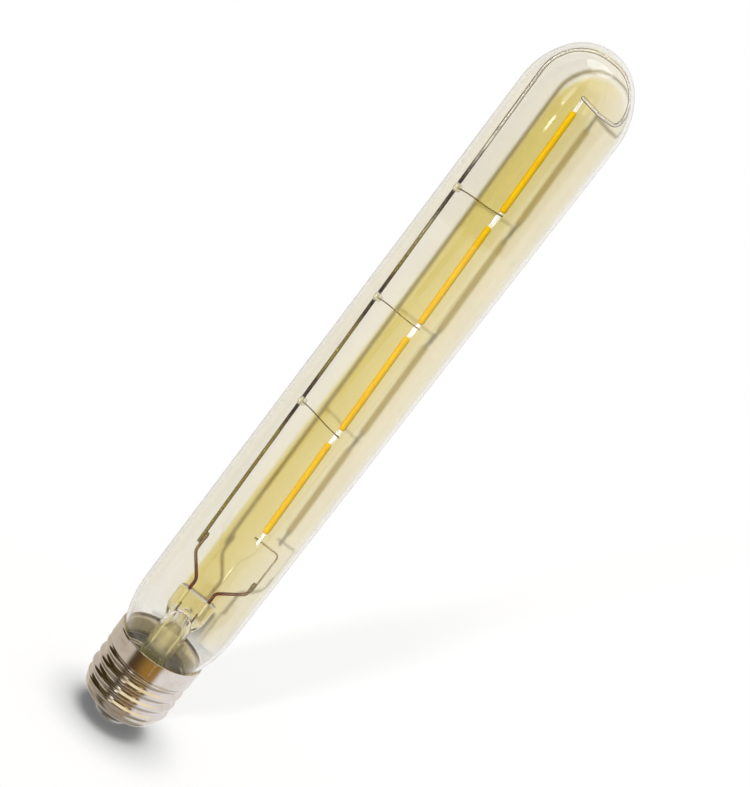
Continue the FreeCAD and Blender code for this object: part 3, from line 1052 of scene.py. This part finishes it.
@dataclass
class ScrewCap:
    """Rolled shell with its knuckle thread, insulator, centre contact and basing cement."""

    height: float = 26.6
    skirt_radius: float = 13.22
    skirt_bottom: float = 20.9
    thread_top: float = 20.3
    thread_bottom: float = 8.0
    core_radius: float = 12.13
    thread_depth: float = 0.97
    pitch: float = 3.629
    crest_angle: float = math.radians(-77.0)
    crest_height: float = 16.4
    sheet: float = 0.35
    fade_low: Pair = (0.4, 2.2)
    fade_high: Pair = (0.55, 0.6)
    opening_radius: float = 8.7
    insulator_top: float = 6.3
    insulator_foot: float = 1.5
    insulator_bulge: Pair = (7.4, 3.05)
    insulator_foot_radius: float = 5.4
    contact_radius: float = 4.9
    contact_face: float = 3.4
    eyelet: float = 0.8

    @property
    def rim_start(self) -> float:
        """Height where the rim's rounding starts."""
        return self.height - 0.15

    @property
    def lip_corner(self) -> float:
        """Outer radius of the bend from the thread into the lip."""
        return self.core_radius - self.opening_radius + 0.2

    def knuckle(self, away: np.ndarray) -> np.ndarray:
        """Height of the thread over its root, from two equal arcs.

        One bulges over the crest and one is hollow over the root, and they meet tangentially a
        quarter of the pitch from either.

        Args:
            away: Distance along the axis from the nearest crest.

        Returns:
            Height at each distance.
        """
        half = self.pitch / 2
        arc_radius = (half**2 + self.thread_depth**2) / (4 * self.thread_depth)
        over = self.thread_depth - arc_radius
        over = over + np.sqrt(np.maximum(arc_radius**2 - away**2, 0))
        under = arc_radius - np.sqrt(np.maximum(arc_radius**2 - (half - away) ** 2, 0))
        return np.where(away < half / 2, over, under)

    def shell_face(self, inset: float) -> Tuple[np.ndarray, np.ndarray]:
        """Plain profile of one face of the sheet and the thread's share at each of its points.

        Args:
            inset: Distance inwards from the outer face.

        Returns:
            Radius and height pairs from the rim down, and the share of the thread from 0 to 1.
        """
        skirt = self.skirt_radius - inset
        core = self.core_radius - inset
        corner = self.lip_corner - inset
        shift = inset * 0.6
        foot = self.thread_top - 0.1 + shift
        straight = run((skirt, self.rim_start), (skirt, self.skirt_bottom + 0.25 + shift), 10)
        ease = eased(np.linspace(0, 1, 13)[1:, None])
        drop = run(straight[-1], (skirt, foot), 12)[1:, 1:]
        shoulder = np.hstack([skirt + (core - skirt) * ease, drop])
        barrel = run((core, foot), (core, self.thread_bottom), 118)
        bend = arc((core - corner, self.thread_bottom), corner, 0, math.radians(-87), 16)
        profile = chain(straight, shoulder, barrel, bend)
        z = profile[:, 1]
        low = np.clip((z - self.thread_bottom + self.fade_low[0]) / self.fade_low[1], 0, 1)
        high = np.clip((self.thread_top + self.fade_high[0] - z) / self.fade_high[1], 0, 1)
        return profile, eased(low) * high

    def threaded(self, inset: float, columns: int) -> np.ndarray:
        """Rings of one face: the plain profile pushed out by the knuckle of its phase.

        The crest rises by one pitch a turn, and the phase is the distance from it modulo the
        pitch. The push and the skirt's own step are joined by the fourth root of the sum of
        their fourth powers.

        Args:
            inset: Distance inwards from the outer face.
            columns: Points round the axis.

        Returns:
            Array of rows by columns by three coordinates.
        """
        profile, share = self.shell_face(inset)
        turn = around(columns)
        z = profile[:, 1:] + 0 * turn
        crest = self.crest_height + self.pitch * (turn - self.crest_angle) / (2 * math.pi)
        phase = (z - crest + self.pitch / 2) % self.pitch - self.pitch / 2
        push = share[:, None] * self.knuckle(np.abs(phase))
        core = self.core_radius - inset
        step = np.maximum(profile[:, :1] - core, 0)
        short = np.minimum(profile[:, :1] - core, 0)
        r = core + short + (push**4 + step**4) ** 0.25
        return np.stack([r * np.cos(turn), r * np.sin(turn), z], axis=-1)

    def build_shell(self) -> None:
        """Makes the shell as one closed ring of both faces, with a rounded rim and lip."""
        outer = self.threaded(0.0, 192)
        inner = self.threaded(self.sheet, 192)[::-1]
        middle = self.skirt_radius - self.sheet / 2
        rise = self.height - self.rim_start
        rim = arc((middle, self.rim_start), self.sheet / 2, math.pi, 0, 6, rise)[1:-1]
        rings = np.concatenate([outer, inner, turned_rings(rim, 192)])
        shell = wrapped_surface("screw_cap", rings, Ends.RING)
        dress(shell, NICKEL, "nickel_plate", "cap_shell")

    def build_insulator(self) -> None:
        """Makes the cast insulator: a cone with a slight bulge and softened edges, and its bore."""
        corner = self.lip_corner
        centre = self.core_radius - corner
        seat = arc((centre, self.thread_bottom), corner - self.sheet, -0.49, math.radians(-87), 8)
        lip = (self.opening_radius - 0.01, self.thread_bottom - corner + 0.03)
        foot, edge = self.insulator_foot, self.insulator_foot_radius
        flat = [(edge + 0.5, foot + 0.18), (edge - 0.1, foot), (self.contact_radius + 0.02, foot)]
        cone = np.array([lip, self.insulator_bulge, *flat])
        floor, top = foot + 0.4, self.insulator_top
        step = [(self.contact_radius, floor), (self.eyelet, floor)]
        well = np.array([*step, (self.eyelet, top), (seat[0][0], top)])
        profile = chain(seat, softened(cone, 3), well)
        ring = turned("insulator_cone", profile, Ends.RING, 128)
        dress(ring, INSULATOR, "black_insulator", "cap_insulator")

    def build_contact(self) -> None:
        """Makes the punched contact disc with a rounded edge."""
        top = self.insulator_foot + 0.38
        wide = self.contact_radius
        edge = [(wide, top), (wide, 0.75), (wide - 0.1, 0.5)]
        corners = np.array([*edge, (self.contact_face, 0.0), (self.eyelet + 0.5, 0.0)])
        hole = run((self.eyelet, 0.12), (self.eyelet, top), 3)
        profile = chain(softened(corners, 3), hole)
        disc = turned("contact_disc", profile, Ends.RING, 96)
        dress(disc, TIN, "contact_metal", "centre_contact")

    def build(self) -> None:
        """Builds the pieces of the cap and dresses the cement."""
        self.build_shell()
        self.build_insulator()
        self.build_contact()
        dress_node("basing_cement", CEMENT)


@dataclass
class Stem:
    """Flared tube pressed flat round the leads, and the sealed pump tube below it."""

    rim_radius: float = 11.2
    rim_height: float = 13.98
    wall: float = 0.9
    tube_radius: float = 4.4
    flare_centre: float = 10.4
    flare_radius: float = 6.0
    pinch_root: float = 34.6
    pinch_bottom: float = 38.6
    pinch_top: float = 44.4
    pinch_width: float = 11.8
    pinch_thickness: float = 4.2
    pinch_round: float = 0.9
    pinch_power: float = 3.6
    port_radius: float = 0.8
    port_height: float = 40.0
    port_depth: float = 1.1
    dome_rise: float = 4.2
    pump_radius: float = 1.6
    pump_wall: float = 0.5
    pump_tip: float = 11.6
    pump_seal: float = 2.0
    pump_round: float = 1.3
    pump_end: float = 0.3

    def press_rings(self, columns: int) -> np.ndarray:
        """Outside of the pinch and the tube below it.

        Each ring is a superellipse: its half width and half depth go from the tube's radius to the
        pinch's as a smooth step of the height, and its exponent from 2 to the pinch's. Near the
        top the half widths shrink as a quarter circle. The pump's port is a round dimple in the
        front: its depth times the exponential of less the cube of the distance over its radius.

        Args:
            columns: Points round the axis.

        Returns:
            Array of rows by columns by three coordinates, from the top down.
        """
        round_by = self.pinch_round
        root, heel = self.pinch_root - 1.0, self.pinch_bottom - 0.2
        top = self.pinch_top - round_by * (1 - np.cos(np.linspace(0, math.pi / 2, 9)))
        flat = np.linspace(self.pinch_top - round_by, heel, 22)[1:]
        press = np.linspace(heel, root, 18)[1:]
        z = np.concatenate([top, flat, press])[:, None]
        share = eased(np.clip((z - root) / (heel - root), 0, 1))
        wide = self.tube_radius + (self.pinch_width / 2 - self.tube_radius) * share
        deep = self.tube_radius + (self.pinch_thickness / 2 - self.tube_radius) * share
        power = 2 + (self.pinch_power - 2) * share
        rounding = np.clip((z - self.pinch_top + round_by) / round_by, 0, 1)
        edge = round_by * (1 - np.sqrt(np.maximum(1 - rounding**2, 0)))
        cosine, sine = np.cos(around(columns)), np.sin(around(columns))
        reach = (np.abs(cosine) ** power + np.abs(sine) ** power) ** (-1 / power)
        x = (wide - edge) * reach * cosine
        y = (deep - edge) * reach * sine
        away = (x**2 + (z - self.port_height) ** 2) / self.port_radius**2
        y = np.where(y < 0, y + self.port_depth * np.exp(-(away**1.5)), y)
        return np.stack(np.broadcast_arrays(x, y, z), axis=-1)

    def build_stem(self) -> None:
        """Makes the stem as one surface: down the outside, round the rim and up the inside."""
        columns = 128
        outer = self.press_rings(columns)
        arc_centre = (self.flare_centre, self.rim_height + self.flare_radius)
        tube = run((self.tube_radius, self.pinch_root - 1.0), (self.tube_radius, arc_centre[1]), 8)
        flare = arc(arc_centre, self.flare_radius, math.pi, 1.5 * math.pi, 24)
        edge = self.rim_height - self.wall
        wide, high = self.rim_radius, self.rim_height
        upper = [(wide - 0.15, high), (wide, high - 0.2)]
        rim = np.array([*upper, (wide, edge + 0.2), (wide - 0.15, edge)])
        under = arc(arc_centre, self.flare_radius + self.wall, 1.5 * math.pi, math.pi, 24)
        bore = self.tube_radius - self.wall
        spring = self.pinch_root - 0.6
        climb = run((bore, arc_centre[1]), (bore, spring), 8)
        dome = arc((0, spring), bore, 0, math.pi / 2, 16, self.dome_rise)
        lathe = turned_rings(chain(tube[1:], flare, rim, under, climb, dome), columns)
        piece = wrapped_surface("stem_flare", np.concatenate([outer, lathe]), Ends.POLES)
        dress(piece, STEM_GLASS, "stem_glass", "stem")

    def build_pump_tube(self) -> None:
        """Makes the pump tube: open into the pinch above, melted to a blob at its tip."""
        bore = self.pump_radius - self.pump_wall
        top = self.pinch_bottom - 0.9
        blob = self.pump_tip + self.pump_round
        outer = run((self.pump_radius, top), (self.pump_radius, blob), 20)
        tip = arc((0, blob), self.pump_radius, 0, -math.pi / 2, 10, self.pump_round)
        well = self.pump_tip + self.pump_seal
        floor = arc((0, well + bore), bore, -math.pi / 2, 0, 8)
        end = self.pump_end
        inner = run((bore, well + bore), (bore, top - end), 20)
        lid = arc((0, top - end), bore, 0, math.pi / 2, 6, end)
        cap = np.array([(0, top + end), (self.pump_radius * 0.7, top + 0.25)])
        skin = turned_rings(chain(cap, outer, tip), 64)
        hollow = turned_rings(chain(floor, inner, lid), 64)
        piece = joined_shells("pump_tube", skin, hollow)
        dress(piece, STEM_GLASS, "stem_glass", "exhaust_tube")

    def build(self) -> None:
        """Builds the stem and its pump tube."""
        self.build_stem()
        self.build_pump_tube()


@dataclass
class FilamentMount:
    """Wires that carry the filaments: support wire with its hook, leads, end wire, ties, beads."""

    lean: float = 0.018
    base: float = 57.0
    dome_centre: float = 207.0
    wire_radius: float = 0.5
    top_offset: float = 11.8
    hook_top: float = 223.05
    hook_far: float = 11.9
    hook_low: float = 210.9
    hook_radius: float = 11.8
    hook_end: Pair = (0.67, 211.7)
    hook_sag: Pair = (6.6, 210.75)
    curl_radius: float = 1.9
    sag_radius: float = 12.0
    lead_weld: float = 0.3
    lead_radius: float = 0.46
    lead_bends: Pair = (3.2, 1.9)
    end_bend: float = 1.4
    lead_left: Tuple[Pair, ...] = ((-3.3, 39.8), (-3.3, 47.6), (-8.26, 54.2), (-8.31, 60.0))
    lead_right: Tuple[Pair, ...] = ((3.3, 39.8), (3.3, 47.6), (10.135, 52.8), (10.135, 56.6))
    end_wire: Tuple[Pair, ...] = ((10.7, 53.8), (10.7, 67.3), (2.56, 67.3))
    end_wire_radius: float = 0.25
    end_wire_depth: float = 0.17
    filament_start: float = 3.76
    low_weld: float = 67.3
    tie_heights: Tuple[float, ...] = (103.8, 140.0, 176.2)
    bead_heights: Tuple[float, ...] = (105.7, 140.2, 175.2)
    tie_radius: float = 0.17
    tie_depth: float = -0.38
    tie_start: float = 0.3
    tie_past: float = 0.9
    tie_wave: float = 0.22
    bead_radius: float = 1.15
    bead_length: float = 2.3
    bead_shift: float = 0.35
    bead_plump: float = 2.4

    def support_x(self, z: float) -> float:
        """Place of the support wire at a height."""
        return self.lean * (self.dome_centre - z) - self.top_offset

    def filament_x(self, z: float) -> float:
        """Place of the filament line at a height."""
        return self.filament_start - self.lean * (z - self.low_weld)

    def hook_drop(self) -> float:
        """Radius of the hook's far bend: its whole drop, less the curl's share."""
        return self.hook_top - self.hook_low - 1.1 * self.curl_radius

    def build_support(self) -> None:
        """Makes the support wire: a straight run, the hook under the dome and its curled end."""
        path = bent(
            [
                (self.support_x(self.base), self.base),
                (self.support_x(self.hook_top), self.hook_top),
                (self.hook_far, self.hook_top),
                (self.hook_far, self.hook_low),
                self.hook_sag,
                self.hook_end,
            ],
            [self.hook_radius, self.hook_drop(), self.curl_radius, self.sag_radius],
        )
        wire = swept("mount_wire", divided(path, 3.0), self.wire_radius)
        dress(wire, SUPPORT, "nickel_wire", "support_wire")

    def build_leads(self) -> None:
        """Makes both leads and the end wire, each with its two bends."""
        ways = (("left", self.lead_left), ("right", self.lead_right))
        for (side, corners), bend in zip(ways, self.lead_bends):
            path = divided(bent(corners, [bend, bend]), 0.8)
            wire = swept("lead_wire_" + side, path, self.lead_radius, weld=self.lead_weld)
            dress(wire, LEAD, "lead_wire", "lead_" + side)
        path = divided(bent(self.end_wire, [self.end_bend]), 0.8)
        wire = swept("end_wire_run", path, self.end_wire_radius, self.end_wire_depth)
        dress(wire, WIRE, "nickel_wire", "end_wire")

    def build_ties(self) -> None:
        """Makes the ties, each a thin wire with one shallow wave that dies out along it.

        The wave is its height times the sine of the whole turn of the share of the way, times
        what is left of the way.
        """
        for number, (low, high) in enumerate(zip(self.tie_heights, self.bead_heights), 1):
            start = self.support_x(high) + self.bead_shift + self.tie_start
            end = self.filament_x(low) + self.tie_past
            share = np.linspace(0, 1, 24)
            sag = self.tie_wave * np.sin(share * 2 * math.pi) * (1 - share)
            drop = high + (low - high) * share + sag
            path = np.column_stack([start + (end - start) * share, drop])
            wire = swept("tie_" + str(number), path, self.tie_radius, self.tie_depth, 12)
            dress(wire, TIE, "nickel_wire", "tie_wire_" + str(number))

    def build_beads(self) -> None:
        """Makes the beads, plump barrels.

        The radius is the bead's times one less the cube of the share of half its length, to the
        power of one over the plumpness.
        """
        share = np.sin(np.linspace(math.pi / 2, -math.pi / 2, 25))
        r = self.bead_radius * (1 - np.abs(share) ** 3) ** (1 / self.bead_plump)
        for number, height in enumerate(self.bead_heights, 1):
            rings = turned_rings(np.column_stack([r, height + share * self.bead_length / 2]), 48)
            rings[:, :, 0] += self.support_x(height) + self.bead_shift
            bead = wrapped_surface("bead_" + str(number), rings, Ends.POLES)
            dress(bead, BEAD_GLASS, "bead_glass", "glass_bead_" + str(number))

    def build(self) -> None:
        """Builds every wire and bead of the mount."""
        self.build_support()
        self.build_leads()
        self.build_ties()
        self.build_beads()
        for side in ("left", "right"):
            dress_node("outer_lead_" + side, OUTER_LEAD)


@dataclass
class FilamentStrings:
    """Four filaments in a row, each a phosphor coat over a strip of chips with two end pins."""

    count: int = 4
    pitch: float = 35.6
    first_middle: float = 85.5
    length: float = 31.0
    radius: float = 0.95
    end_round: float = 0.7
    slope: float = 0.03
    depth: float = 0.125
    mount: FilamentMount = field(default_factory=FilamentMount)

    def coat_rings(self, middle: float, layer: float) -> np.ndarray:
        """Rings of one coat: a rod with rounded ends, leaned along the filament line.

        Args:
            middle: Height of the filament's middle.
            layer: Depth of the filament.

        Returns:
            Array of rows by columns by three coordinates.
        """
        half = self.length / 2
        top = arc((0, half - self.end_round), self.radius, math.pi / 2, 0, 8, self.end_round)
        bottom = (top * [1, -1])[::-1]
        profile = chain(top, divided(np.vstack([top[-1:], bottom[:1]]), 0.6), bottom)
        rings = turned_rings(profile, 32)
        lean = math.atan(self.slope)
        x, y, z = rings[..., 0], rings[..., 1], rings[..., 2]
        out = x * math.cos(lean) - z * math.sin(lean) + self.mount.filament_x(middle)
        up = x * math.sin(lean) + z * math.cos(lean) + middle
        return np.stack([out, y + layer, up], axis=-1)

    def build(self) -> None:
        """Builds the coats and dresses the chips and pins."""
        for index in range(self.count):
            number = str(index + 1)
            layer = self.depth if index % 2 else -self.depth
            rings = self.coat_rings(self.first_middle + index * self.pitch, layer)
            coat = wrapped_surface("phosphor_coat_" + number, rings, Ends.POLES)
            node = "filament_" + number
            dress(coat, PHOSPHOR, "phosphor", node + "_coat")
            dress_node(node + "_chips", CERAMIC)
            dress_node(node + "_pin_top", PIN)
            dress_node(node + "_pin_bottom", PIN)


@dataclass
class Driver:
    """Board with its parts inside the cap, all as the CAD has them."""

    finishes: Dict[str, Finish] = field(
        default_factory=lambda: {
            "driver_board": BOARD,
            "capacitor": CAN,
            "bridge_rectifier": PACKAGE,
            "driver_chip": PACKAGE,
            "fuse_resistor": RESISTOR,
            "contact_pin": TIN,
            "shell_wire": COPPER,
        }
    )

    def build(self) -> None:
        """Dresses each node of the driver."""
        for name, finish in self.finishes.items():
            dress_node(name, finish)


@dataclass(frozen=True)
class Card:
    """Card that only reflections see: a colour in a window of directions.

    The side is the sine of the direction's turn from straight ahead, from -1 on the left to 1 on
    the right, and the height is the direction's Z. Each has a smooth rise and a smooth fall.
    """

    colour: Colour
    side: Tuple[Pair, Pair]
    height: Tuple[Pair, Pair]


@dataclass
class Stage:
    """Floor, white sheet behind the lamp, lights, world and camera, whose place is in metres.

    Lamps are given by the direction that they shine from, their share of the strength at which a
    matt white face square to them renders as white, and their apparent width in degrees.
    """

    floor_radius: float = 1400.0
    floor_colour: Colour = (0.945, 0.945, 0.94)
    sheet_depth: float = 15.6
    sheet_half: float = 420.0
    sheet_height: float = 560.0
    sheet_bottom: float = 0.1
    key_from: Tuple[float, float, float] = (-0.375, -1.0, 0.11)
    key_share: float = 0.76
    key_width: float = 3.8
    top_from: Tuple[float, float, float] = (-0.05, 0.06, 1.0)
    top_share: float = 0.74
    top_width: float = 50.0
    ambient: float = 0.26
    camera_place: Tuple[float, float, float] = (0.0, -0.40904, 0.21559)
    camera_ahead: Tuple[float, float, float] = (0.0106, 0.9733, -0.2293)
    camera_right: Tuple[float, float, float] = (0.7941, 0.1312, 0.5935)
    lens: float = 73.19
    spark: Colour = (8.0, 8.0, 7.6)
    cards: Tuple[Card, ...] = (
        Card((1.7, 1.65, 1.6), ((-0.44, -0.40), (-0.30, -0.26)), ((0.0, 0.04), (0.45, 0.6))),
        Card((1.3, 0.98, 0.42), ((0.33, 0.37), (0.46, 0.50)), ((0.10, 0.16), (0.5, 0.6))),
        Card(spark, ((-0.335, -0.310), (-0.265, -0.240)), ((-0.042, -0.032), (-0.018, -0.010))),
        Card(spark, ((0.32, 0.335), (0.36, 0.375)), ((-0.374, -0.370), (-0.364, -0.360))),
    )

    def lay(self, paper: bpy.types.Object, finish: StagePaper) -> None:
        """Finishes a paper of the stage, which no reflection and no matt surface sees.

        Args:
            paper: Floor or sheet.
            finish: Its finish.
        """
        paper.data.materials.append(finish.material())
        paper.visible_glossy = False
        paper.visible_diffuse = False

    def build_floor(self) -> None:
        """Makes the floor, a disc of paper under the lamp."""
        turn = around(96)
        rim = np.column_stack([np.cos(turn), np.sin(turn), 0 * turn]) * self.floor_radius
        floor = make_mesh("floor_paper", rim, [range(len(rim))])
        self.lay(floor, StagePaper(self.floor_colour))

    def build_sheet(self) -> None:
        """Makes the white sheet close behind the lamp, on which its wires throw their shadows."""
        half, depth = self.sheet_half, self.sheet_depth
        low, high = self.sheet_bottom, self.sheet_height
        places = ((-half, low), (half, low), (half, high), (-half, high))
        corners = np.array([(x, depth, z) for x, z in places])
        sheet = make_mesh("back_paper", corners, [range(len(corners))])
        self.lay(sheet, StagePaper(one_sided=True))

    def lamp(self, name: str, start: Sequence[float], strength: float, angle: float) -> None:
        """Adds a sun.

        Args:
            name: Name of the lamp.
            start: Direction that the light comes from.
            strength: Strength of the sun.
            angle: Apparent width in degrees, which softens its shadows.
        """
        data = bpy.data.lights.new(name, "SUN")
        data.energy = strength
        data.angle = math.radians(angle)
        made = bpy.data.objects.new(name, data)
        made.rotation_euler = Vector(start).to_track_quat("Z", "Y").to_euler()
        made.visible_glossy = False
        bpy.context.scene.collection.objects.link(made)

    def build_lights(self) -> None:
        """Adds the key from the front left and a broad light from above."""
        slant = -self.key_from[1] / Vector(self.key_from).length
        self.lamp("key", self.key_from, self.key_share * math.pi / slant, self.key_width)
        self.lamp("top", self.top_from, self.top_share * math.pi, self.top_width)

    def build_world(self) -> None:
        """White world: full strength where it is seen, weaker as fill, patched in reflections."""
        world = bpy.data.worlds.new("studio")
        world.use_nodes = True
        world.cycles.sampling_method = "NONE"
        bpy.context.scene.world = world
        graph = Graph(world.node_tree)
        direct = 1 - graph.ray("Diffuse Depth").clipped()
        mirrored = graph.ray("Glossy Depth").clipped()
        seen = (graph.ray("Is Camera Ray") + graph.ray("Is Transmission Ray")).clipped()
        seen = seen * direct * (1 - mirrored)
        glossy = mirrored * direct
        tone = graph.mix(glossy * (1 - seen), (1.0, 1.0, 1.0), self.reflected(graph))
        strength = seen + (1 - seen) * (glossy + (1 - glossy) * self.ambient)
        light = graph.add("ShaderNodeBackground", {}, {"Color": tone, "Strength": strength})
        graph.add("ShaderNodeOutputWorld", {}, {"Surface": light.out(0)})

    def reflected(self, graph: Graph) -> Term:
        """Colour of the world in reflections: pale all round, with dark and bright cards.

        Z is the height of a direction, and the side is the sine of its turn from straight ahead.
        A wide dark card stands behind the camera, brown below and nearly black above, between a
        narrow one on the left and the pale right. The zenith is warm and bright, the ground is
        grey, and a thin band at the far left darkens the edges of the metal. The noise makes the
        cards' edges uneven, as mirrored in glass that is not quite round.

        Args:
            graph: Graph of the world.

        Returns:
            Colour by direction.
        """
        spot = graph.add("ShaderNodeTexCoord", {}, {}).out("Generated")
        parts = graph.add("ShaderNodeSeparateXYZ", {}, {"Vector": spot})
        x, y, z = parts.out("X"), parts.out("Y"), parts.out("Z")
        side = x / (x * x + y * y + 0.0001) ** 0.5
        toward = 0 - y
        ahead = toward.step(0.0, 0.1)
        soft = side + (graph.noise(4.0, 3.0, spot) - 0.5) * 0.16
        middle = soft.between((-0.72, -0.56), (0.56, 0.70)) * ahead
        left = soft.between((-0.99, -0.90), (-0.66, -0.52)) * ahead
        level = z.step(-0.22, -0.10)
        deep = 1 - z.step(-0.74, -0.64)
        band = (1 - side.step(-0.95, -0.90)) * toward.step(-0.40, -0.25) * z.step(-0.38, -0.34)
        brown = graph.mix(soft.step(-0.45, 0.20), (0.10, 0.06, 0.025), (0.40, 0.22, 0.05))
        tone = graph.mix(soft.step(-0.50, 0.30), (0.70, 0.63, 0.54), (0.98, 0.955, 0.95))
        for share, colour in (
            (middle * (1 - level), brown),
            (middle * level, (0.10, 0.085, 0.055)),
            (z.step(0.62, 0.75), (1.2, 1.05, 0.72)),
            (deep, (0.42, 0.38, 0.32)),
            (left * (level + deep).clipped(), (0.10, 0.08, 0.04)),
            (band, (0.05, 0.035, 0.01)),
        ):
            tone = graph.mix(share, tone, colour)
        for card in self.cards:
            shown = side.between(*card.side) * z.between(*card.height) * ahead
            tone = graph.mix(shown, tone, card.colour)
        return tone

    def build_camera(self) -> None:
        """Places the camera at the photograph's viewpoint, turned as the photograph is."""
        data = bpy.data.cameras.new("camera")
        data.lens = self.lens
        data.sensor_width = 36.0
        data.clip_start = 0.01
        camera = bpy.data.objects.new("camera", data)
        ahead = Vector(self.camera_ahead).normalized()
        right = Vector(self.camera_right).normalized()
        up = right.cross(ahead)
        turn = Matrix((right, up, -ahead)).transposed()
        camera.matrix_world = Matrix.Translation(self.camera_place) @ turn.to_4x4()
        bpy.context.scene.collection.objects.link(camera)
        bpy.context.scene.camera = camera

    def build(self) -> None:
        """Builds the stage."""
        self.build_camera()
        self.build_floor()
        self.build_sheet()
        self.build_lights()
        self.build_world()
        bpy.context.scene.view_settings.view_transform = "Standard"


def main() -> None:
    """Builds the lamp and its stage."""
    Stage().build()
    for kind in (GlassTube, ScrewCap, Stem, FilamentMount, FilamentStrings, Driver):
        assembly = kind()
        log.info("building %s", type(assembly).__name__)
        assembly.build()


if __name__ == "__main__":
    logging.basicConfig(level=logging.INFO, format="%(name)s %(message)s")
    main()
